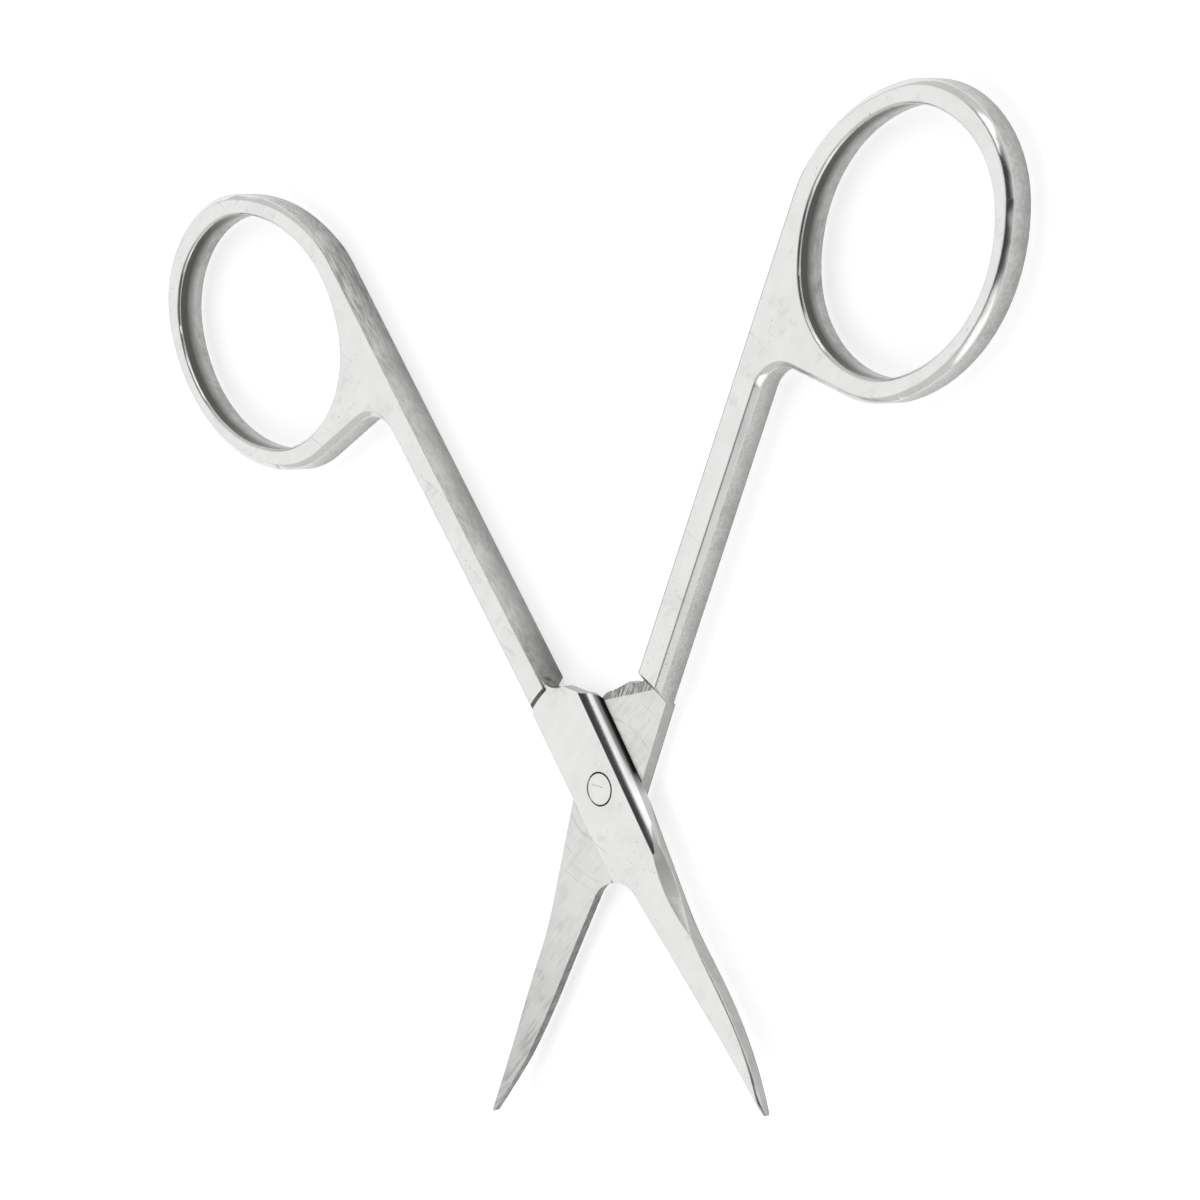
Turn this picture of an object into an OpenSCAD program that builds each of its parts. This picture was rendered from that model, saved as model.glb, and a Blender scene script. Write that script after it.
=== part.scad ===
// Cuticle scissors: two forged halves crossed on one flush rivet.
// Frame: the scissors lie flat on their back faces, +Y points to the finger rings, the
// pivot axis is upright, and the origin is the middle of the footprint.
// Both halves come from one blank, drawn closed: its ring on the left, its blade on
// the right of the centre line, and z = 0 on the face that meets the other half.

/* [Finger ring] */
// Distance from the pivot to the centre of the ring opening, along the scissors
ring_y = 49.4; // [40:0.1:60]
// Distance of the ring opening's centre from the centre line
ring_x = 10.4; // [10:0.1:11]
// Lean of the ring's long axis away from the centre line, in degrees
ring_lean = 12.5; // [0:0.5:20]
// Half length of the ring opening
open_a = 10.15; // [9.6:0.05:11]
// Half width of the ring opening
open_b = 8.45; // [8:0.05:8.6]
// Half length of the ring outside
rim_a = 12.1; // [11.6:0.05:13]
// Half width of the ring outside
rim_b = 9.8; // [9.4:0.05:10]
// Chamfer along the outer edges of ring, web and shank
outer_edge = 0.45; // [0.1:0.05:0.6]
// Chamfer of the opening's edges
open_edge = 0.2; // [0.1:0.05:0.4]

/* [Shank] */
// Thickness of the shank and ring, from face to face
shank_t = 2.6; // [2.2:0.05:3]
// Width of the shank, seen from the front
shank_w = 2.35; // [2:0.05:2.8]
// Gap between the two shanks when the blades are shut
shank_gap = 0.6; // [0.4:0.05:1]
// Slope of the web's underside where it leaves the ring
web_slope = -0.08; // [-0.2:0.01:0]
// Inside corner radius between the shank and the underside of the ring
web_fillet = 2.6; // [1:0.1:3]

/* [Pivot plate] */
// Thickness of one half where the two cross
plate_t = 1.1; // [0.9:0.05:1.2]
// Radius of the plate's upper end, measured from the pivot
plate_r = 8.4; // [8:0.1:8.6]
// Distance of the plate's spine side from the centre line, level with the pivot
spine_w = 3.15; // [2.9:0.05:3.4]
// Distance of the plate's edge side from the centre line at its lower end
edge_w = 3; // [2.8:0.05:3.2]
// How much further out the spine side lies at its upper corner
spine_flare = 0.35; // [0.2:0.05:0.5]
// How far the upper spine corner lies below the plate's end
corner_drop = 1.3; // [0.9:0.05:1.5]
// Distance from the pivot to the point where the spine side turns in to the blade
plate_end = 2.8; // [2:0.1:4]
// Corner radius at the plate's upper spine corner
plate_corner = 1.7; // [0.5:0.1:2]
// Inside corner radius between shank and plate
neck_fillet = 2; // [1.2:0.1:2.2]
// Running gap between the plate's end and the other half's shoulder
shoulder_gap = 0.6; // [0.5:0.05:1]
// Gap between the two mating faces
mate_gap = 0.04; // [0.02:0.01:0.08]

/* [Blade] */
// Distance from the pivot to the blade tip
blade_l = 28.3; // [27:0.1:29]
// Distance from the pivot to the start of the cutting edge
edge_start = 8.5; // [8:0.1:10]
// How far the cutting edge starts past the centre line
edge_lap = 1.9; // [1.5:0.05:2.1]
// How far the straight stretch of the spine lies past the centre line
spine_lap = 1.5; // [1.3:0.05:1.7]
// Inside radius between the plate and the blade's straight stretch, on the spine side
waist_r = 26; // [20:1:32]
// Distance from the pivot to the start of that straight stretch
waist_y = 15; // [14:0.1:15.5]
// Distance from the pivot to its end, where the spine sweeps to the tip and gets thinner
sweep_y = 16; // [15.8:0.1:17]
// Distance of the tip past the centre line
tip_x = 0.35; // [0.3:0.05:0.45]
// Width of the blade where its blunt tip starts
tip_w = 0.3; // [0.25:0.05:0.5]
// Radius of the hollow between the plate and the heel of the cutting edge
heel_r = 2.3; // [2:0.1:2.6]
// How far the cutting edge bows out from a straight line, two thirds of the way to the tip
edge_bow = 0.22; // [0:0.02:0.3]
// Width that the cutting bevel takes off the outer face
bevel_w = 0.28; // [0.2:0.02:0.5]
// Thickness of the blade at its tip
tip_t = 0.75; // [0.6:0.05:0.9]
// Radius of the blade's upward curve, seen from the side
curve_r = 46; // [40:1:70]
// Distance from the pivot to the start of the upward curve
curve_start = 19; // [16:0.5:22]
// Width of the ground chamfer along the spine, level with the pivot
chamfer_w = 0.6; // [0.4:0.05:0.8]
// Depth of the ground chamfer along the spine
chamfer_d = 0.45; // [0.3:0.05:0.6]
// How far the spine side flares out below the chamfer
draft_w = 0.45; // [0.2:0.05:0.6]
// Distance from the pivot to the middle of the hollow ground into the spine
hollow_y = 10.8; // [10:0.1:12]
// How far that hollow leaves the outer face past the centre line
hollow_x = 1.1; // [0.9:0.05:1.4]
// Radius of the hollow
hollow_r = 18; // [12:1:24]

/* [Rivet] */
// Diameter of the rivet's shaft
rivet_d = 1.8; // [1.4:0.1:2]
// Diameter of the rivet's countersunk ends
head_d = 2.6; // [2.4:0.05:3]
// Depth of the countersunk ends
head_h = 0.45; // [0.3:0.05:0.6]
// Radial running clearance in the front half
rivet_gap = 0.02; // [0.01:0.01:0.05]

/* [Pose] */
// Angle between the two halves, in degrees
open_angle = 60.6; // [0:0.2:75]

/* [Hidden] */
$fn = 64;
eps = 0.01;
big = 100;
mid_z = shank_t / 2;
mate_z = mate_gap / 2;
shank_in = -shank_gap / 2;
shank_out = shank_in - shank_w;

// Shoulder at the lower end of the shank, where the other half's plate swings past
shoulder_r = plate_r + shoulder_gap;
shoulder_slope = 1;
step_slope = 0.25;

// Ring in its own place, and the centre of its lower end arc
ring_c = [-ring_x, ring_y];
rim_r = end_r(rim_a, rim_b);
low_c = ring_c + (rim_a - rim_r) * [sin(ring_lean), -cos(ring_lean)];

// Spine side of the ring: an arc that leaves the shank's inner face a little below the
// ring's centre and runs into the ring's upper end arc. sink keeps a real corner there.
sink = 0.01;
side_y = ring_y - 1;
top_c = 2 * ring_c - low_c;
side_in = rim_r - sink;
side_w = shank_in - top_c[0];
side_h = side_y - top_c[1];
side_r = (side_w * side_w + side_h * side_h - side_in * side_in) / (2 * (side_w - side_in));
side_c = [shank_in - side_r, side_y];
side_a = atan2(top_c[1] - side_c[1], top_c[0] - side_c[0]);

// The outer chamfer runs out along this arc: its cutter follows a wider arc, which has left
// the wall at the angle fade_a
fade_a = 8;
fade_grow = (outer_edge + 5 * eps) / (1 - cos(side_a - fade_a));
fade_c = on_circle(side_c, -fade_grow, side_a);

// Underside of the web: a line that leaves the ring nearly tangentially, and its inside corner
web_a = atan(web_slope);
web_turn = acos(1 - 2 * sink / rim_r);
web_p = low_c + (rim_r - 2 * sink) * [sin(web_a), -cos(web_a)];
web_q = web_p + rim_r * sin(web_turn) * [cos(web_a), sin(web_a)];
fillet_x = shank_out - web_fillet;
fillet_c = [fillet_x, web_p[1] + web_slope * (fillet_x - web_p[0]) - web_fillet / cos(web_a)];
fillet_q = fillet_c + web_fillet * [-sin(web_a), cos(web_a)];

// Plate: centre of the neck's inside corner, of the upper spine corner, and the lower
// end of the spine side
neck_x = shank_in + neck_fillet;
neck_c = [neck_x, sqrt(pow(plate_r + neck_fillet, 2) - pow(neck_x, 2))];
corner_c = [spine_w + spine_flare, plate_r - corner_drop] - [plate_corner, plate_corner];
corner_turn = 62;
spine_in = 0.1;
plate_p = [spine_w - spine_in, -plate_end];
waist_c = [spine_lap + waist_r, -waist_y];
waist_a = atan2(plate_p[1] - waist_c[1], plate_p[0] - waist_c[0]) + acos(waist_r / norm(plate_p - waist_c));

// Lean of the hollow in the spine, from upright
hollow_lean = 50;

// Blunt end of the tip, and metal left outside the cutting edge for the bevel to take off
tip_blunt = 0.2;
spare = 0.2;
edge_end = blade_l - tip_blunt;
// Spine's sweep, an arc that leaves the straight stretch and ends at the blunt tip
sweep_l = edge_end - sweep_y;
sweep_in = spine_lap - (tip_x - tip_blunt + tip_w);
sweep_r = (sweep_l * sweep_l + sweep_in * sweep_in) / (2 * sweep_in);
// Cutting edge: its straight facets, their end points from heel to tip, and the factor
// that makes the bow's curve u * u * (1 - u) reach 1 at its highest
facets = 4;
bow_factor = 27 / 4;
edge_ds = [for (i = [0:facets]) edge_start + (edge_end - edge_start) * i / facets];
edge = [for (d = edge_ds) [edge_x(d), -d]];

// Ring top and blade tip above the pivot in the open pose, and the pivot's place
half_a = open_angle / 2;
top_y = ring_y * cos(half_a) - ring_x * sin(half_a) + (rim_a - rim_r) * cos(ring_lean + half_a) + rim_r;
low_y = tip_x * sin(half_a) - blade_l * cos(half_a);
pivot_y = -(top_y + low_y) / 2;

// Distance of the cutting edge from the centre line, at a distance d from the pivot
function edge_x(d) = let (u = (d - edge_start) / (edge_end - edge_start))
    -edge_lap + (tip_x - tip_blunt + edge_lap) * u - edge_bow * bow_factor * u * u * (1 - u);
// Point at an angle on a circle
function on_circle(c, r, a) = c + r * [cos(a), sin(a)];
// Points of an arc from angle a0 to a1 in n steps
function arc(c, r, a0, a1, n) = [for (i = [0:n]) on_circle(c, r, a0 + (a1 - a0) * i / n)];
// Radius of the end arcs of a four-centre oval with half axes a and b
function end_r(a, b) = b * b / a + 0.57 * (a - b) * 0.5;
// Radius of its flank arcs
function flank_r(a, b) = (a * a + b * b - 2 * a * end_r(a, b)) / (2 * (b - end_r(a, b)));
// Angle at which the flank arcs hand over to the end arcs
function hand_over(a, b) = atan2(a - end_r(a, b), flank_r(a, b) - b);

// Four-centre oval with its long axis along Y
module oval(a, b) {
    r1 = end_r(a, b);
    r2 = flank_r(a, b);
    turn_y = r2 * sin(hand_over(a, b));
    intersection() {
        translate([b - r2, 0]) circle(r2);
        translate([r2 - b, 0]) circle(r2);
        square([4 * b, 2 * turn_y], center = true);
    }
    for (s = [-1, 1]) translate([0, s * (a - r1)]) circle(r1);
}

// Corner that a chamfer of size c takes off an edge at the origin. It stands out past the
// wall by spill, so that no skin is left between the facets of a round wall.
spill = 0.1;
module edge_waste(c) {
    polygon([[-c - eps, eps], [spill, eps], [spill, -c - spill]]);
}

// Chamfer along a wall that follows an arc of radius r from angle a0 to a1, at height z.
// side is 1 where the metal is inside the arc and -1 outside; up is 1 on a top edge.
// Where stretches of a chamfer follow each other, every second one is cut with cross_cut,
// a hair deeper and longer, so that they meet in a clean edge.
cross_cut = [0.005, 0.3];
module arc_chamfer(c, r, a0, a1, z, up, side, size) {
    translate([c[0], c[1], z]) rotate([0, 0, a0]) rotate_extrude(angle = a1 - a0) translate([r, 0])
        mirror([side > 0 ? 0 : 1, 0]) mirror([0, up > 0 ? 0 : 1]) edge_waste(size);
}

// Chamfer along the straight wall from p to q at height z, with the metal on its left
module line_chamfer(p, q, z, up, size) {
    translate([p[0], p[1], z]) rotate([0, 0, atan2(q[1] - p[1], q[0] - p[0])]) rotate([90, 0, 90])
        linear_extrude(norm(q - p)) mirror([1, 0]) mirror([0, up > 0 ? 0 : 1]) edge_waste(size);
}

// Chamfers one edge of an oval wall, on the arcs whose numbers are listed:
// 0 spine flank, 1 top end, 2 outer flank, 3 bottom end
module oval_chamfer(a, b, z, up, side, size, arcs) {
    r1 = end_r(a, b);
    r2 = flank_r(a, b);
    t = hand_over(a, b);
    for (i = arcs) {
        c = [[b - r2, 0], [0, a - r1], [r2 - b, 0], [0, r1 - a]][i];
        from = [-t, t, 180 - t, 180 + t][i];
        to = [t, 180 - t, 180 + t, 360 - t][i];
        if (i % 2 == 0) arc_chamfer(c, r2, from, to, z, up, side, size);
        else arc_chamfer(c, r1, from - cross_cut[1], to + cross_cut[1], z, up, side, size + cross_cut[0]);
    }
}

// Ring, web and shank in outline, closed position
module handle_outline() {
    inside_y = ring_y - open_a / 2;
    difference() {
        union() {
            translate(ring_c) rotate(ring_lean) oval(rim_a, rim_b);
            translate([shank_out, plate_r - 1])
                square([shank_w, side_y - plate_r + 1 + sqrt(2 * side_r * sink)]);
            intersection() {
                translate(side_c) circle(side_r);
                translate([ring_c[0], side_y]) square([ring_x, side_r * sin(side_a)]);
            }
            polygon([
                [shank_in - eps, inside_y], [web_p[0], inside_y], web_p, fillet_q, fillet_c,
                [shank_out, fillet_c[1]], [shank_in - eps, fillet_c[1]]
            ]);
        }
        translate(ring_c) rotate(ring_lean) oval(open_a, open_b);
        translate(fillet_c) circle(web_fillet);
    }
}

// Chamfer along the outside: over the ring, under the web and down the shank
module outer_chamfer() {
    t = hand_over(rim_a, rim_b);
    for (up = [-1, 1]) {
        z = up * mid_z;
        arc_chamfer(fade_c, side_r + fade_grow, fade_a, side_a, z, up, 1, outer_edge);
        arc_chamfer(top_c, rim_r, side_a - cross_cut[1], 180 + ring_lean - t + cross_cut[1],
            z, up, 1, outer_edge + cross_cut[0]);
        translate([ring_c[0], ring_c[1], 0]) rotate([0, 0, ring_lean])
            oval_chamfer(rim_a, rim_b, z, up, 1, outer_edge, [2]);
        arc_chamfer(low_c, rim_r, 180 + ring_lean + t - cross_cut[1], 270 + web_a + web_turn + cross_cut[1],
            z, up, 1, outer_edge + cross_cut[0]);
        line_chamfer(web_q, fillet_q, z, up, outer_edge);
        arc_chamfer(fillet_c, web_fillet, -cross_cut[1], 90 + web_a + cross_cut[1],
            z, up, -1, outer_edge + cross_cut[0]);
        line_chamfer([shank_out, fillet_c[1]], [shank_out, plate_r], z, up, outer_edge);
    }
}

module handle() {
    difference() {
        translate([0, 0, -mid_z]) linear_extrude(shank_t) handle_outline();
        for (up = [-1, 1]) translate([ring_c[0], ring_c[1], 0]) rotate([0, 0, ring_lean])
            oval_chamfer(open_a, open_b, up * mid_z, up, -1, open_edge, [0, 1, 2, 3]);
    }
}

// Plate and blade in outline at the mating face, closed position
module blade_outline() {
    polygon(concat(
        [[shank_out, neck_c[1] + 1], [shank_in, neck_c[1] + 1]],
        arc(neck_c, neck_fillet, 180, 180 + atan2(neck_c[1], neck_c[0]), 8),
        arc(corner_c, plate_corner, corner_turn, 0, 5),
        [plate_p],
        arc(waist_c, waist_r, waist_a, 180, 5),
        arc([spine_lap - sweep_r, -sweep_y], sweep_r, 0, -asin(sweep_l / sweep_r), 8),
        [[tip_x, -blade_l]],
        [for (i = [facets:-1:1]) edge[i] - [spare, 0]],
        [[-edge_w, -edge_start], [shank_out + eps, plate_r]]
    ));
}

// Height of the mating face at y: flat, then curving away in direction s
function mate_curve(y, s) = let (d = max(0, -curve_start - y)) s * d * d / (2 * curve_r);
// Thickness of the plate and blade at y
function thick(y) = let (d = max(0, -sweep_y - y) / (blade_l - sweep_y)) plate_t - (plate_t - tip_t) * d * d;

// Side view of the plate and blade: thin slab with a curved tip
module side_profile(s) {
    far_y = plate_r + 2 * neck_fillet + 1;
    ys = [for (y = [-sweep_y:-1:-blade_l - 1]) y];
    n = len(ys);
    polygon(concat(
        [[far_y, mate_z]],
        [for (y = ys) [y, mate_z + mate_curve(y, s)]],
        [for (i = [n - 1:-1:0]) [ys[i], thick(ys[i]) + mate_curve(ys[i], s)]],
        [[far_y, plate_t]]
    ));
}

// Half space on the left of the line from p to q, its wall leaning in by lean degrees
module slope_cut(p, q, lean) {
    d = q - p;
    translate(p) rotate([0, 0, atan2(d[1], d[0])]) rotate([0, -atan2(d[2], norm([d[0], d[1]])), 0])
        rotate([lean, 0, 0]) translate([-big / 2, 0, -big / 2]) cube([big + norm(d), big, big]);
}

// Point of the cutting edge, on the curved mating face
function edge_point(i, s) = [edge[i][0], edge[i][1], mate_z + mate_curve(edge[i][1], s)];

// Cutting bevel: the edge side leans in from the mating face to the outer face. Above the
// heel a round hollow of the same lean runs out through the plate's edge side.
module bevel(s) {
    lean = atan2(bevel_w, plate_t);
    translate([edge[0][0] - heel_r / cos(lean), edge[0][1], mate_z]) rotate([0, lean, 0])
        cylinder(r = heel_r, h = 4 * plate_t, center = true);
    for (i = [0:facets - 1]) intersection() {
        high = i == 0 ? spare - edge_start : edge[i][1];
        low = i == facets - 1 ? -2 * blade_l : edge[i + 1][1];
        slope_cut(edge_point(i + 1, s), edge_point(i, s), lean);
        translate([-big / 2, low, -big / 2]) cube([big, high - low, big]);
    }
}

// Ground chamfer along the spine side of the outer face, the draft below it, and the long
// hollow where the plate gets narrower
module spine_grind() {
    slope_cut([spine_w + spine_flare - chamfer_w - draft_w, plate_r, plate_t],
        [spine_lap + spare, -edge_start, plate_t], atan2(chamfer_w, chamfer_d));
    slope_cut([spine_w + spine_flare, plate_r - corner_drop, mate_z], [plate_p[0], plate_p[1], mate_z],
        atan2(draft_w, plate_t - chamfer_d));
    translate([hollow_x, -hollow_y, plate_t]) rotate([0, -hollow_lean, 0]) translate([hollow_r, 0, 0])
        cylinder(r = hollow_r, h = 4 * plate_t, center = true);
}

module plate_and_blade(s) {
    difference() {
        intersection() {
            translate([0, 0, -big / 4]) linear_extrude(big / 2) blade_outline();
            rotate([90, 0, 90]) translate([0, 0, -big / 2]) linear_extrude(big) side_profile(s);
        }
        bevel(s);
        spine_grind();
    }
}

// Space that the other half's plate sweeps, with the sloping shoulder at its rim, and
// the shallow step down from the shank's face to the plate's
module swing_room() {
    translate([0, 0, -mid_z - 1]) cylinder(r = shoulder_r, h = mid_z + 1 + plate_t);
    translate([0, 0, -mid_z - eps])
        cylinder(r1 = shoulder_r + shoulder_slope, r2 = shoulder_r, h = mid_z + eps);
    translate([0, 0, plate_t])
        cylinder(r1 = shoulder_r, r2 = shoulder_r + step_slope, h = mid_z - plate_t + eps);
}

// One half, closed, mating face at z = 0; s is the direction in which its blade curves
module blank(s) {
    difference() {
        union() {
            difference() {
                handle();
                swing_room();
            }
            plate_and_blade(s);
        }
        outer_chamfer();
    }
}

// Shaft with a countersunk outer end, on the side of one half; gap widens it all round
module rivet_side(gap) {
    cylinder(r = rivet_d / 2 + gap, h = plate_t + eps);
    translate([0, 0, plate_t - head_h]) cylinder(r1 = rivet_d / 2 + gap, r2 = head_d / 2 + gap, h = head_h);
    translate([0, 0, plate_t]) cylinder(r = head_d / 2 + gap, h = 1);
}

// Puts a half that is drawn closed into the open pose; side is 1 for the front half
module pose(side) {
    translate([0, pivot_y, mid_z])
        rotate([0, 0, side * half_a]) rotate([0, side > 0 ? 0 : 180, 0]) children();
}

module front_half() {
    color("gainsboro") pose(1) difference() {
        blank(1);
        translate([0, 0, -eps]) rivet_side(rivet_gap);
    }
}

module back_half() {
    color("lightgray") pose(-1) difference() {
        blank(-1);
        rivet_side(0);
    }
}

module pivot_rivet() {
    color("silver") translate([0, pivot_y, mid_z]) for (flip = [0, 180]) rotate([flip, 0, 0]) {
        cylinder(r = rivet_d / 2, h = plate_t - head_h);
        translate([0, 0, plate_t - head_h]) cylinder(r1 = rivet_d / 2, r2 = head_d / 2, h = head_h);
    }
}

front_half();
back_half();
pivot_rivet();
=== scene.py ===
# Cuticle scissors: two polished steel halves crossed on a flush rivet, lying on white card.

import math

import bpy
from mathutils import Matrix, Vector


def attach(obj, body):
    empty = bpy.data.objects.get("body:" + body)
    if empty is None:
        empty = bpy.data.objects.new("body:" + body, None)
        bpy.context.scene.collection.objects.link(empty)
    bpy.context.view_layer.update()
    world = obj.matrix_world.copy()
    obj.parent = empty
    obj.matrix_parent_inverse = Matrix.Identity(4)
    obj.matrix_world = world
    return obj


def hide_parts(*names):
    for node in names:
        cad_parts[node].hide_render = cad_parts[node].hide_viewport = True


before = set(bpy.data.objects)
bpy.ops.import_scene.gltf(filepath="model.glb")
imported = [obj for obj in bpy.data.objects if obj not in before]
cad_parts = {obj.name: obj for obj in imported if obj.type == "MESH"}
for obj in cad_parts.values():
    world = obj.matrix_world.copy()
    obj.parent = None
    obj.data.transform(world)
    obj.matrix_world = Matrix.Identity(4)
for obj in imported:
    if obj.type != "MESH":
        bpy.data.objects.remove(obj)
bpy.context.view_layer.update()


# Camera
# A long lens at arm's length, 45 degrees off the flat of the scissors towards their right,
# with the finger rings at the top of the picture.
MM = 0.001
VIEW_TILT = math.radians(45.08)
VIEW_RISE = math.radians(0.125)
VIEW_ROLL = math.radians(-4.71)
VIEW_AIM = Vector((0.937, 1.913, 1.617)) * MM
VIEW_DISTANCE = 390.7 * MM
LENS = 157.1
SENSOR_WIDTH = 36

toward_camera = Vector((
    math.sin(VIEW_TILT) * math.cos(VIEW_RISE), math.sin(VIEW_RISE), math.cos(VIEW_TILT) * math.cos(VIEW_RISE)
))
picture_right = Vector((0, 1, 0)).cross(toward_camera).normalized()
picture_up = toward_camera.cross(picture_right)
roll = Matrix.Rotation(VIEW_ROLL, 3, toward_camera)
turn = Matrix((roll @ picture_right, roll @ picture_up, toward_camera)).transposed()
camera = bpy.data.objects.new("camera", bpy.data.cameras.new("camera"))
bpy.context.collection.objects.link(camera)
camera.matrix_world = Matrix.Translation(VIEW_AIM + VIEW_DISTANCE * toward_camera) @ turn.to_4x4()
camera.data.lens = LENS
camera.data.sensor_width = SENSOR_WIDTH
camera.data.clip_start = 10 * MM
bpy.context.scene.camera = camera
bpy.context.scene.view_settings.view_transform = "Standard"


# Floor
# A sheet of matt card under the scissors. The eye and the polished steel see it lit up to
# white, and the shadow of the scissors stays on it.
FLOOR_SIZE = 4000 * MM
FLOOR_DROP = 0.02 * MM
CARD_COLOUR = "#EDEDED"
CARD_GLOW = 0.55


def linear(hex_colour):
    channels = [int(hex_colour[i:i + 2], 16) / 255 for i in (1, 3, 5)]
    return tuple(c / 12.92 if c <= 0.04045 else ((c + 0.055) / 1.055) ** 2.4 for c in channels) + (1,)


def add_node(tree, kind, settings=None, links=None):
    """One node. Settings name its properties or sockets, links say which node or socket feeds a socket."""
    node = tree.nodes.new(kind)
    for name, value in (settings or {}).items():
        if isinstance(name, str) and hasattr(node, name):
            setattr(node, name, value)
        else:
            node.inputs[name].default_value = value
    for name, source in (links or {}).items():
        socket = source.outputs[0] if isinstance(source, bpy.types.Node) else source
        tree.links.new(socket, node.inputs[name])
    return node


def new_material(name):
    material = bpy.data.materials.new(name)
    material.use_nodes = True
    material.node_tree.nodes.clear()
    return material, material.node_tree


# Matt card: no shine at all, only an even white.
card, tree = new_material("matt_white_card")
path = add_node(tree, "ShaderNodeLightPath")
mirrored = add_node(tree, "ShaderNodeMath", {"operation": "MAXIMUM"}, {
    0: path.outputs["Is Glossy Ray"], 1: path.outputs["Is Transmission Ray"]})
seen = add_node(tree, "ShaderNodeMath", {"operation": "MAXIMUM"}, {
    0: path.outputs["Is Camera Ray"], 1: mirrored})
glow = add_node(tree, "ShaderNodeMath", {"operation": "MULTIPLY", 1: CARD_GLOW}, {0: seen})
lit = add_node(tree, "ShaderNodeEmission", {}, {"Strength": glow})
paper = add_node(tree, "ShaderNodeBsdfDiffuse", {"Color": linear(CARD_COLOUR)})
both = add_node(tree, "ShaderNodeAddShader", {}, {0: paper, 1: lit})
add_node(tree, "ShaderNodeOutputMaterial", {}, {"Surface": both})

bpy.ops.mesh.primitive_plane_add(size=FLOOR_SIZE, location=(0, 0, -FLOOR_DROP))
floor = bpy.context.object
floor.name = "floor"
floor.data.materials.append(card)


# Studio light
# A large softbox on the left that the flat faces mirror, and two small ones on the right, above
# and below the camera, for the edges. The room is pale, except for dark cloth hung over its
# right half, which the chamfers mirror. The eye sees the room as plain white.
ROOM_COLOUR = "#E2E2E2"
CLOTH_COLOUR = "#404040"
# Edges of the cloth: along an axis of the room, the place where it starts and where it is full,
# as the sine of the angle seen from the scissors. Its foot, its end overhead and its left edge.
CLOTH_EDGES = (("Z", 0.48, 0.64), ("Z", 0.965, 0.94), ("X", -0.12, 0.12))


def softbox(name, angle, swing, distance, width, height, radiance):
    """A lamp seen from the scissors at an angle from straight up towards the right, swung up the picture."""
    way = Vector((math.sin(angle) * math.cos(swing), math.sin(swing), math.cos(angle) * math.cos(swing)))
    across = Vector((math.cos(angle), 0, -math.sin(angle)))
    lamp = bpy.data.lights.new(name, "AREA")
    lamp.shape = "RECTANGLE"
    lamp.size = width
    lamp.size_y = height
    lamp.energy = radiance * math.pi * width * height
    light = bpy.data.objects.new(name, lamp)
    facing = Matrix((across, way.cross(across), way)).transposed()
    light.matrix_world = Matrix.Translation(way * distance) @ facing.to_4x4()
    bpy.context.collection.objects.link(light)


softbox("softbox_left", angle=math.radians(-50), swing=0, distance=0.8, width=1.0, height=0.9, radiance=0.36)
softbox("softbox_upper_right", angle=math.radians(36), swing=math.radians(41), distance=1.05,
        width=0.28, height=0.6, radiance=1.4)
softbox("softbox_lower_right", angle=math.radians(34), swing=math.radians(-55), distance=1.05,
        width=0.4, height=0.68, radiance=0.78)

room = bpy.data.worlds.new("pale_room_with_dark_cloth")
room.use_nodes = True
tree = room.node_tree
tree.nodes.clear()
direction = add_node(tree, "ShaderNodeTexCoord")
place = add_node(tree, "ShaderNodeSeparateXYZ", {}, {0: direction.outputs["Generated"]})
cloth = None
for axis, start, full in CLOTH_EDGES:
    edge = add_node(tree, "ShaderNodeMapRange", {
        "interpolation_type": "SMOOTHSTEP", "From Min": start, "From Max": full}, {"Value": place.outputs[axis]})
    if cloth is None:
        cloth = edge
    else:
        cloth = add_node(tree, "ShaderNodeMath", {"operation": "MULTIPLY"}, {0: cloth, 1: edge})
shade = add_node(tree, "ShaderNodeMix", {
    "data_type": "RGBA", 6: linear(ROOM_COLOUR), 7: linear(CLOTH_COLOUR)}, {0: cloth})
path = add_node(tree, "ShaderNodeLightPath")
plain = add_node(tree, "ShaderNodeMix", {"data_type": "RGBA", 7: (1, 1, 1, 1)}, {
    0: path.outputs["Is Camera Ray"], 6: shade.outputs[2]})
sky = add_node(tree, "ShaderNodeBackground", {"Strength": 1.0}, {"Color": plain.outputs[2]})
add_node(tree, "ShaderNodeOutputWorld", {}, {"Surface": sky})
bpy.context.scene.world = room


# Front half
# Ring, shank, pivot plate and blade in one forging of stainless steel. The flat faces are
# polished, the sides are only tumbled, and the face that meets the other half is ground.
OPEN_ANGLE = math.radians(60.6)
PIVOT = Vector((0, -12.157, 1.3)) * MM
# Places on the closed half, measured from the pivot: x towards its spine, y towards its ring.
SHOULDER_RADIUS = 9 * MM
SHOULDER_SLOPE = 1.1 * MM
RIVET_HEAD = 1.3 * MM
RING_CENTRE = Vector((-10.4, 49.4, 0)) * MM
RING_REACH = 11.5 * MM
HOLLOW_START = 7 * MM
POLISH_END = Vector((2.62, -4.5, 0)) * MM
POLISH_ACROSS = Vector((0.964, -0.265, 0))
# The hand-eased corner of the back plate, as a place and the way beyond it, in the open part.
CORNER_LINE = Vector((0.75, -5.55, 0)) * MM
CORNER_ACROSS = Vector((-0.106, 0.994, 0))
EDGE_ROUND = 0.07 * MM
HOLLOW_ROUND = 0.11 * MM
# How far the wear beside an edge reaches, in the look only.
EDGE_SOFTNESS = 0.25 * MM
SPINE_SOFTNESS = 0.12 * MM
# How far up the normal of a face points: flat faces, upright sides, the hollow, the chamfer.
FLAT = 0.99
UPRIGHT = 0.4
HOLLOW_TILT = (0.68, 0.79)
CHAMFER_TILT = (0.75, 0.85)


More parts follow.
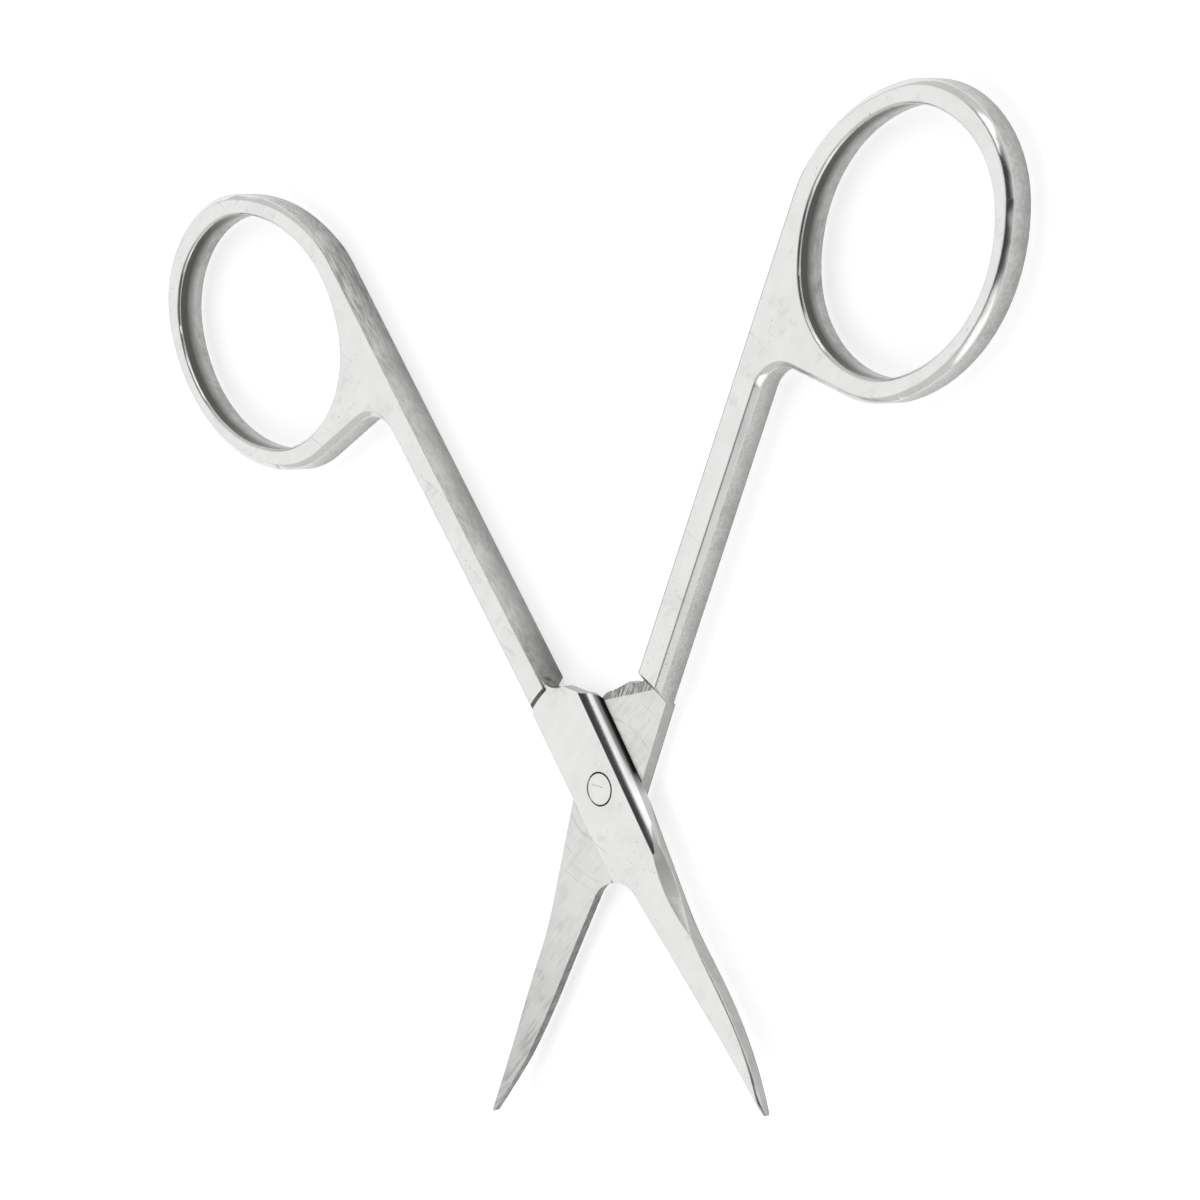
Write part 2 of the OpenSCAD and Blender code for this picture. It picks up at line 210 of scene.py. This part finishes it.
def grain(tree, coords, per_mm, stretch=1, angle=0.0, detail=2.0):
    """Blots, so many to the millimetre, turned by an angle and drawn out into lines where stretch is over 1."""
    scale = per_mm / MM
    turned = add_node(tree, "ShaderNodeMapping", {"Rotation": (0, 0, angle)}, {"Vector": coords})
    drawn = add_node(tree, "ShaderNodeMapping", {"Scale": (scale, scale / stretch, scale)}, {"Vector": turned})
    return add_node(tree, "ShaderNodeTexNoise", {
        "Scale": 1.0, "Detail": detail, "Roughness": 0.6}, {"Vector": drawn})


def zone(tree, value, start, end, low=0.0, high=1.0, within=None):
    """Fades from low to high as the value passes from start to end, inside another zone where one is given."""
    faded = add_node(tree, "ShaderNodeMapRange", {
        "From Min": start, "From Max": end, "To Min": low, "To Max": high}, {"Value": value})
    if within is None:
        return faded
    return add_node(tree, "ShaderNodeMath", {"operation": "MULTIPLY"}, {0: within, 1: faded})


def steel(name, light, dark, roughness, lines, blots_per_mm, blot_share, softness=0, marks=()):
    """Bare steel, taken from light to dark and from smooth to rough by its lines and its soft blots.

    The lines are so many to the millimetre, so many times longer than wide, turned by an angle,
    and so deep. Each mark is a pattern with the colour that it takes the steel to.
    """
    material, tree = new_material(name)
    coords = add_node(tree, "ShaderNodeTexCoord").outputs["Object"]
    per_mm, stretch, angle, depth = lines
    drawn = grain(tree, coords, per_mm, stretch, angle, detail=3.0)
    blots = grain(tree, coords, blots_per_mm, detail=4.0)
    mixed = add_node(tree, "ShaderNodeMix", {"data_type": "FLOAT", 0: blot_share}, {2: drawn, 3: blots})
    colour = add_node(tree, "ShaderNodeMix", {"data_type": "RGBA", 6: linear(light), 7: linear(dark)}, {
        0: zone(tree, mixed, 0.42, 0.72)})
    for mark, hex_colour in marks:
        colour = add_node(tree, "ShaderNodeMix", {"data_type": "RGBA", 7: linear(hex_colour)}, {
            0: mark(tree, coords), 6: colour.outputs[2]})
    relief = add_node(tree, "ShaderNodeBump", {"Strength": 1.0, "Distance": depth}, {"Height": drawn})
    if softness:
        worn_edges = add_node(tree, "ShaderNodeBevel", {"samples": 8, "Radius": softness})
        tree.links.new(worn_edges.outputs[0], relief.inputs["Normal"])
    shader = add_node(tree, "ShaderNodeBsdfPrincipled", {"Metallic": 1.0}, {
        "Base Color": colour.outputs[2], "Roughness": zone(tree, mixed, 0.3, 0.7, *roughness), "Normal": relief})
    add_node(tree, "ShaderNodeOutputMaterial", {}, {"Surface": shader})
    return material


def smudges(tree, coords):
    """Faint grey patches of handling, 1 to 2 mm across, broken by short marks."""
    patch = zone(tree, grain(tree, coords, 0.42), 0.56, 0.66)
    marks = grain(tree, coords, 2.6, stretch=3, angle=1.1, detail=3.0)
    return zone(tree, marks, 0.42, 0.66, high=0.25, within=patch)


def pits(tree, coords):
    """Dark pits about 0.15 mm across, left from the forging, in loose groups."""
    group = zone(tree, grain(tree, coords, 0.16), 0.5, 0.62)
    return zone(tree, grain(tree, coords, 5.2, detail=1.0), 0.7, 0.76, high=0.8, within=group)


def hairlines(tree, coords):
    """Single long scratches, some way apart. Real ones are 0.02 mm wide, these about 0.1 mm, to show."""
    patch = zone(tree, grain(tree, coords, 0.3, detail=1.0), 0.5, 0.62)
    lines = grain(tree, coords, 2.6, stretch=26, angle=-0.95, detail=1.0)
    return zone(tree, lines, 0.66, 0.72, high=0.3, within=patch)


def from_pivot(tree, coords):
    """The place and the distance from the rivet's axis, seen from above."""
    centred = add_node(tree, "ShaderNodeMapping", {"Location": -PIVOT}, {"Vector": coords})
    level = add_node(tree, "ShaderNodeMapping", {"Scale": (1, 1, 0)}, {"Vector": centred})
    reach = add_node(tree, "ShaderNodeVectorMath", {"operation": "LENGTH"}, {0: level})
    return level, reach.outputs["Value"]


def wheel_marks(tree, coords):
    """Bundles of darker marks where the side turns into the ring and was touched up on a wheel."""
    reach = from_pivot(tree, coords)[1]
    past_shank = zone(tree, reach, 36 * MM, 44 * MM)
    before_ring = zone(tree, reach, 60 * MM, 54 * MM, within=past_shank)
    patch = zone(tree, grain(tree, coords, 0.26), 0.36, 0.52, within=before_ring)
    lines = grain(tree, coords, 4.6, stretch=9, angle=-0.5)
    return zone(tree, lines, 0.42, 0.62, high=0.6, within=patch)


def wear_arcs(tree, coords):
    """Broken arcs round the pivot, where the shoulder of the other half has rubbed."""
    level, reach = from_pivot(tree, coords)
    place = add_node(tree, "ShaderNodeSeparateXYZ", {}, {0: level})
    bearing = add_node(tree, "ShaderNodeMath", {"operation": "ARCTAN2"}, {
        0: place.outputs["Y"], 1: place.outputs["X"]})
    unrolled = add_node(tree, "ShaderNodeCombineXYZ", {}, {"X": reach, "Y": bearing})
    # The stretch makes one blot of each radian, as the bearing isn't a length.
    arcs = zone(tree, grain(tree, unrolled.outputs[0], 2.4, stretch=2.4 / MM), 0.6, 0.68, high=0.3)
    return zone(tree, reach, 9.5 * MM, 8.5 * MM, within=arcs)


def blade_streaks(tree, coords):
    """Coarser grinding streaks on the outer half of the blade."""
    patch = zone(tree, grain(tree, coords, 0.42), 0.42, 0.6)
    streaks = zone(tree, grain(tree, coords, 3.6, stretch=14, angle=0.85), 0.46, 0.62, high=0.5, within=patch)
    return zone(tree, from_pivot(tree, coords)[1], 10 * MM, 16 * MM, within=streaks)


def corner_hatch(tree, coords):
    """Coarse cross marks on the corner of the plate, where it was eased by hand."""
    offset = add_node(tree, "ShaderNodeVectorMath", {"operation": "SUBTRACT", 1: CORNER_LINE}, {0: coords})
    beyond = add_node(tree, "ShaderNodeVectorMath", {"operation": "DOT_PRODUCT", 1: CORNER_ACROSS}, {0: offset})
    corner = zone(tree, beyond.outputs["Value"], -0.02 * MM, 0.08 * MM)
    return zone(tree, grain(tree, coords, 6.5, stretch=7, angle=0.5), 0.36, 0.6, low=0.3, within=corner)


def toward_tip(tree, coords):
    """The ground face gets duller towards the tip."""
    return zone(tree, from_pivot(tree, coords)[1], 9 * MM, 24 * MM, high=0.7)


def near_pivot(tree, coords):
    """Painted shade on the end of the side next to the pivot, where the other half crowds it, broken into mottled
    stains.
    """
    stain = zone(tree, grain(tree, coords, 0.7, detail=3.0), 0.3, 0.6, low=0.45)
    return zone(tree, from_pivot(tree, coords)[1], 16 * MM, 9.5 * MM, high=0.85, within=stain)


def lower_side(tree, coords):
    """Side walls: painted shade, darker towards the back of the scissors, next to the card."""
    height = add_node(tree, "ShaderNodeSeparateXYZ", {}, {0: coords}).outputs["Z"]
    return zone(tree, height, 1.9 * MM, 0.3 * MM, high=0.55)


def inner_side(tree, coords):
    """Inside of the rings: painted shade, dark under the front edge."""
    height = add_node(tree, "ShaderNodeSeparateXYZ", {}, {0: coords}).outputs["Z"]
    return zone(tree, height, 0.9 * MM, 1.8 * MM)


def foot(tree, coords):
    """Painted shade along the foot of the spine, dark where the two plates meet and the gap between them falls in
    shadow.
    """
    centred = add_node(tree, "ShaderNodeMapping", {"Location": -PIVOT}, {"Vector": coords})
    closed = add_node(tree, "ShaderNodeMapping", {"Rotation": (0, 0, -OPEN_ANGLE / 2)}, {"Vector": centred})
    place = add_node(tree, "ShaderNodeSeparateXYZ", {}, {0: closed})
    gap = add_node(tree, "ShaderNodeMath", {"operation": "ABSOLUTE"}, {0: place.outputs["Z"]})
    along = zone(tree, place.outputs["Y"], -2.5 * MM, -0.5 * MM)
    return zone(tree, gap, 0.7 * MM, 0.2 * MM, within=along)


# Single lines of polish and of tumbling are a few hundredths of a millimetre wide or less and
# wouldn't show, so all lines are drawn coarser: 1 mm wide and very faint for the polish, 0.3 mm
# for the tumbling, and 0.2 mm for the grinding and the stone. The angles are in radians.
FELT_POLISH = {"light": "#DDDDDC", "dark": "#D5D5D4", "lines": (0.9, 12, 0.7, 0.0002 * MM),
               "blots_per_mm": 0.35, "blot_share": 0.7}
HANDLING = ((smudges, "#A8A8A6"), (pits, "#8A8A88"), (hairlines, "#B0B0AE"))
TUMBLING = {"lines": (3.4, 9, -0.9, 0.0004 * MM), "blots_per_mm": 0.42, "blot_share": 0.45,
            "softness": EDGE_SOFTNESS}

# Polished on a felt wheel: almost a mirror, with faint clouds and hairlines.
polished = steel("felt_polished_stainless_steel", roughness=(0.13, 0.2), softness=EDGE_SOFTNESS, marks=HANDLING,
                 **FELT_POLISH)
# The same polish on the flats of plate and blade, whose edges are still crisp.
crisp = steel("felt_polished_stainless_steel_crisp", roughness=(0.13, 0.2), marks=HANDLING, **FELT_POLISH)
# Spine of the plate: the brightest mirror, with painted shade along its foot where it meets the other plate.
spine = steel("felt_polished_stainless_steel_foot_shaded", roughness=(0.1, 0.14), softness=SPINE_SOFTNESS,
              marks=((foot, "#1E1E1D"),), **FELT_POLISH)
# Sides, tumbled in a drum: duller and darker, with short marks across, and painted shade towards the back.
tumbled = steel("drum_tumbled_stainless_steel", "#C4C4C2", "#9E9E9C", (0.24, 0.34),
                marks=((lower_side, "#7E7E7C"), (pits, "#6A6A68")), **TUMBLING)
# The inner side of each shank, touched up on a wheel, with painted shade and mottled stains at its end next to the
# pivot, and painted shade towards the back.
inner_shank = steel("wheel_touched_stainless_steel", "#C4C4C2", "#9E9E9C", (0.24, 0.34),
                    marks=((lower_side, "#7E7E7C"), (wheel_marks, "#6E6E6C"), (near_pivot, "#4C4C4A")), **TUMBLING)
# Spine of the blade, as it left the drum: an even grey.
dull = steel("drum_tumbled_stainless_steel_even", "#B2B2B0", "#A2A2A0", (0.28, 0.36), marks=((pits, "#6A6A68"),),
             **TUMBLING)
# Inside of the rings, tumbled and never polished: grey, with painted shade under the front edge.
ring_inside = steel("drum_tumbled_stainless_steel_shaded", "#BEBEBC", "#949492", (0.26, 0.36),
                    lines=(3.4, 6, 0.3, 0.0004 * MM), blots_per_mm=0.6, blot_share=0.5, softness=EDGE_SOFTNESS,
                    marks=((inner_side, "#565654"), (pits, "#4A4A48")))
# Mating faces, ground flat: fine slanted lines, and arcs from years of opening and closing.
ground = steel("flat_ground_stainless_steel", "#D5D5D4", "#C6C6C4", (0.2, 0.3),
               lines=(5.2, 14, 0.9, 0.0003 * MM), blots_per_mm=0.6, blot_share=0.55,
               marks=((toward_tip, "#B4B4B2"), (wear_arcs, "#8E8E8C"), (blade_streaks, "#8A8A88"),
                      (corner_hatch, "#70706E")))
# Cutting bevel from a coarser stone: dark, with lines across the edge and small nicks.
stoned = steel("coarse_stoned_stainless_steel", "#868684", "#444443", (0.25, 0.36),
               lines=(5.2, 8, 0.4, 0.0006 * MM), blots_per_mm=1.8, blot_share=0.65, marks=((pits, "#2A2A29"),))
# Hollow from a soft wheel, left unpolished: a satin grey.
wheel_ground = steel("wheel_ground_stainless_steel", "#E6E6E4", "#D8D8D6", (0.4, 0.48),
                     lines=(5.2, 8, 1.2, 0.0003 * MM), blots_per_mm=0.5, blot_share=0.5, softness=EDGE_SOFTNESS)
# Groove round the rivet, where polish and oil collect: almost black.
soiled = steel("oil_stained_stainless_steel", "#5A5A58", "#2C2C2B", (0.4, 0.5),
               lines=(3.0, 4, 0.0, 0.0005 * MM), blots_per_mm=1.5, blot_share=0.5)
FINISHES = (polished, crisp, spine, tumbled, inner_shank, dull, ring_inside, ground, stoned, wheel_ground, soiled)


def blank_point(point, side):
    """A point or direction of one half, turned into the closed half's own frame."""
    turned = Matrix.Rotation(-side * OPEN_ANGLE / 2, 3, "Z") @ point
    return turned if side > 0 else Vector((-turned.x, turned.y, -turned.z))


def open_direction(direction, side):
    """The other way: from the closed half's own frame to this half's place."""
    if side < 0:
        direction = Vector((-direction.x, direction.y, -direction.z))
    return Matrix.Rotation(side * OPEN_ANGLE / 2, 3, "Z") @ direction


def part_spine_chamfer(piece, side):
    """Parts the plate's chamfer on a slanted line, where its polish runs out towards the blade."""
    bpy.ops.mesh.select_all(action="DESELECT")
    bpy.ops.mesh.select_mode(type="FACE")
    bpy.ops.object.mode_set(mode="OBJECT")
    for face in piece.data.polygons:
        spot = blank_point(face.center - PIVOT, side)
        facing = blank_point(face.normal, side)
        face.select = abs(spot.y) < HOLLOW_START and facing.x > 0.5 and 0.7 < facing.z < 0.9
    bpy.ops.object.mode_set(mode="EDIT")
    bpy.ops.mesh.bisect(
        plane_co=PIVOT + open_direction(POLISH_END, side), plane_no=open_direction(POLISH_ACROSS, side))


def round_edges(piece, side):
    """Takes the sharpness off every edge, and more off the one between blade and hollow."""
    bpy.ops.object.mode_set(mode="EDIT")
    bpy.ops.mesh.select_all(action="DESELECT")
    bpy.ops.mesh.select_mode(type="EDGE")
    bpy.ops.mesh.edges_select_sharp(sharpness=math.radians(28))
    bpy.ops.object.mode_set(mode="OBJECT")
    mesh = piece.data
    beside = {}
    for face in mesh.polygons:
        for edge in face.edge_keys:
            beside.setdefault(edge, []).append(blank_point(face.normal, side))
    share = mesh.attributes.new("bevel_weight_edge", "FLOAT", "EDGE")
    for edge in mesh.edges:
        if not edge.select:
            continue
        first, second = (mesh.vertices[end].co for end in edge.vertices)
        middle = blank_point((first + second) / 2 - PIVOT, side)
        flat = any(facing.z > FLAT for facing in beside[edge.key])
        hollow = any(facing.x > 0.5 and 0.6 < facing.z < 0.85 for facing in beside[edge.key])
        wide = middle.y < -HOLLOW_START and flat and hollow
        share.data[edge.index].value = 1.0 if wide else EDGE_ROUND / HOLLOW_ROUND
    edges = piece.modifiers.new("rounded_edges", "BEVEL")
    edges.width = HOLLOW_ROUND
    edges.segments = 3
    edges.limit_method = "WEIGHT"
    edges.harden_normals = True
    bpy.ops.object.modifier_apply(modifier="rounded_edges")


def flatten_shading(piece):
    """Keeps the flat faces as flat as a ground plate, so that only the rounded edges bend a reflection."""
    bpy.ops.object.shade_smooth_by_angle(angle=math.radians(40))
    flats = piece.modifiers.new("flat_faces", "WEIGHTED_NORMAL")
    flats.mode = "FACE_AREA"
    flats.weight = 100
    flats.keep_sharp = True
    bpy.ops.object.modifier_apply(modifier="flat_faces")
    corners = [corner.vector.copy() for corner in piece.data.corner_normals]
    for face in piece.data.polygons:
        if abs(face.normal.z) > 0.9999:
            for corner in face.loop_indices:
                corners[corner] = face.normal.copy()
    piece.data.normals_split_custom_set(corners)


def finish_at(spot, facing):
    """The finish of a face of the closed half, from its place and the way it faces."""
    radius = math.hypot(spot.x, spot.y)
    on_blade = spot.y < -HOLLOW_START
    below_shoulder = spot.y < SHOULDER_RADIUS
    # The hollow at the heel of the blade.
    if on_blade and facing.x > 0.5 and HOLLOW_TILT[0] < facing.z < HOLLOW_TILT[1]:
        return wheel_ground
    # The countersink round the rivet.
    if RIVET_HEAD - 0.05 * MM < radius < RIVET_HEAD + 0.1 * MM and abs(facing.z) < FLAT:
        return soiled
    # The cutting bevel, and the sloping shoulder that the other plate swings past.
    if on_blade and facing.x < -0.5:
        return stoned
    if SHOULDER_RADIUS - 0.1 * MM < radius < SHOULDER_RADIUS + SHOULDER_SLOPE and spot.y > 0 and facing.y < -0.3:
        return stoned
    # The spine of the blade, and the spine of the plate with its chamfer.
    if on_blade and facing.x > 0.6 and abs(facing.z) < 0.6:
        return dull
    if -HOLLOW_START < spot.y < SHOULDER_RADIUS and facing.x > 0.4 and facing.z > 0.3:
        past_polish = (spot - POLISH_END).dot(POLISH_ACROSS) > 0
        return wheel_ground if past_polish and CHAMFER_TILT[0] < facing.z < CHAMFER_TILT[1] else spine
    # The mating face.
    if below_shoulder and facing.z < -0.5:
        return ground
    # The upright sides: ring, shank and blade.
    if spot.y > SHOULDER_RADIUS and abs(facing.z) < UPRIGHT:
        from_ring = spot - RING_CENTRE
        if from_ring.length < RING_REACH and from_ring.x * facing.x + from_ring.y * facing.y < 0:
            return ring_inside
        return inner_shank if facing.x > 0 else tumbled
    if below_shoulder and abs(facing.z) < UPRIGHT:
        return dull
    return crisp if below_shoulder and facing.z > FLAT else polished


def finish_half(name, node, body, side):
    """A copy of the forging: triangles joined into faces, edges rounded, finishes laid on by place."""
    bpy.ops.object.select_all(action="DESELECT")
    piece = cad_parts[node].copy()
    piece.data = piece.data.copy()
    piece.name = name
    piece.data.name = name
    for key in list(piece.keys()):
        del piece[key]
    piece.parent = None
    bpy.context.collection.objects.link(piece)
    piece.select_set(True)
    bpy.context.view_layer.objects.active = piece
    bpy.ops.object.mode_set(mode="EDIT")
    bpy.ops.mesh.select_all(action="SELECT")
    bpy.ops.mesh.remove_doubles(threshold=0.0005 * MM)
    bpy.ops.mesh.dissolve_limited(angle_limit=math.radians(0.02))
    part_spine_chamfer(piece, side)
    bpy.ops.object.mode_set(mode="OBJECT")
    round_edges(piece, side)
    flatten_shading(piece)

    piece.data.materials.clear()
    for material in FINISHES:
        piece.data.materials.append(material)
    for face in piece.data.polygons:
        finish = finish_at(blank_point(face.center - PIVOT, side), blank_point(face.normal, side))
        face.material_index = FINISHES.index(finish)
    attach(piece, body)
    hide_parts(node)


finish_half("front_half_finished", "front_half", "front", 1)


# Back half
# The same forging, laid the other way round, so that its ground face shows above the pivot
# and on the left blade.
finish_half("back_half_finished", "back_half", "back", -1)


# Rivet
# A steel pin through both plates, countersunk and ground flush at both ends. Its rim is
# broken a little, so that a dark line shows round it.
SHAFT_RADIUS = 0.9 * MM
HEAD_Z = 1.1 * MM
SHAFT_Z = 0.65 * MM
RIM_BREAK = 0.13 * MM
RIVET_SIDES = 96
SCRATCH_CENTRE = Vector((-0.25, 0.2, 0)) * MM
SCRATCH_ANGLE = 0.25


def one_scratch(tree, coords):
    """A single scratch across the end of the rivet, from the stone that ground it flush."""
    centred = add_node(tree, "ShaderNodeMapping", {"Location": -PIVOT}, {"Vector": coords})
    turned = add_node(tree, "ShaderNodeMapping", {
        "Rotation": (0, 0, SCRATCH_ANGLE), "Location": -SCRATCH_CENTRE}, {"Vector": centred})
    place = add_node(tree, "ShaderNodeSeparateXYZ", {}, {0: turned})
    along = add_node(tree, "ShaderNodeMath", {"operation": "ABSOLUTE"}, {0: place.outputs["X"]})
    across = add_node(tree, "ShaderNodeMath", {"operation": "ABSOLUTE"}, {0: place.outputs["Y"]})
    length = zone(tree, along, 0.7 * MM, 0.5 * MM, high=0.45)
    return zone(tree, across, 0.05 * MM, 0.03 * MM, within=length)


# The same felt polish as on the plate, but for one scratch.
rivet_end = steel("felt_polished_rivet_steel", roughness=(0.13, 0.2), marks=((one_scratch, "#6A6A68"),),
                  **FELT_POLISH)

bpy.ops.object.select_all(action="DESELECT")
bpy.ops.mesh.primitive_circle_add(
    vertices=RIVET_SIDES, radius=RIVET_HEAD, fill_type="NGON", location=PIVOT + Vector((0, 0, HEAD_Z)))
rivet = bpy.context.object
rivet.name = "rivet_pin"
rivet.data.name = "rivet_pin"
bpy.ops.object.mode_set(mode="EDIT")
bpy.ops.mesh.select_all(action="SELECT")
# From the front end: down the front countersink, through the shaft, down the back countersink.
for drop, widening in (
    (HEAD_Z - SHAFT_Z, SHAFT_RADIUS / RIVET_HEAD), (2 * SHAFT_Z, 1), (HEAD_Z - SHAFT_Z, RIVET_HEAD / SHAFT_RADIUS)
):
    bpy.ops.mesh.extrude_region_move(TRANSFORM_OT_translate={"value": (0, 0, -drop)})
    bpy.ops.transform.resize(value=(widening, widening, 1), center_override=PIVOT)
bpy.ops.mesh.select_all(action="SELECT")
bpy.ops.mesh.normals_make_consistent(inside=False)
bpy.ops.mesh.select_all(action="DESELECT")
bpy.ops.mesh.select_mode(type="EDGE")
bpy.ops.mesh.edges_select_sharp(sharpness=math.radians(60))
bpy.ops.mesh.bevel(offset=RIM_BREAK, segments=2)
bpy.ops.object.mode_set(mode="OBJECT")
bpy.ops.object.transform_apply(location=True, rotation=True, scale=True)
bpy.ops.object.shade_smooth_by_angle(angle=math.radians(20))
rivet.data.materials.append(rivet_end)
rivet.data.materials.append(soiled)
for face in rivet.data.polygons:
    face.material_index = 0 if abs(face.normal.z) > FLAT else 1
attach(rivet, "back")
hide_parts("pivot_rivet")
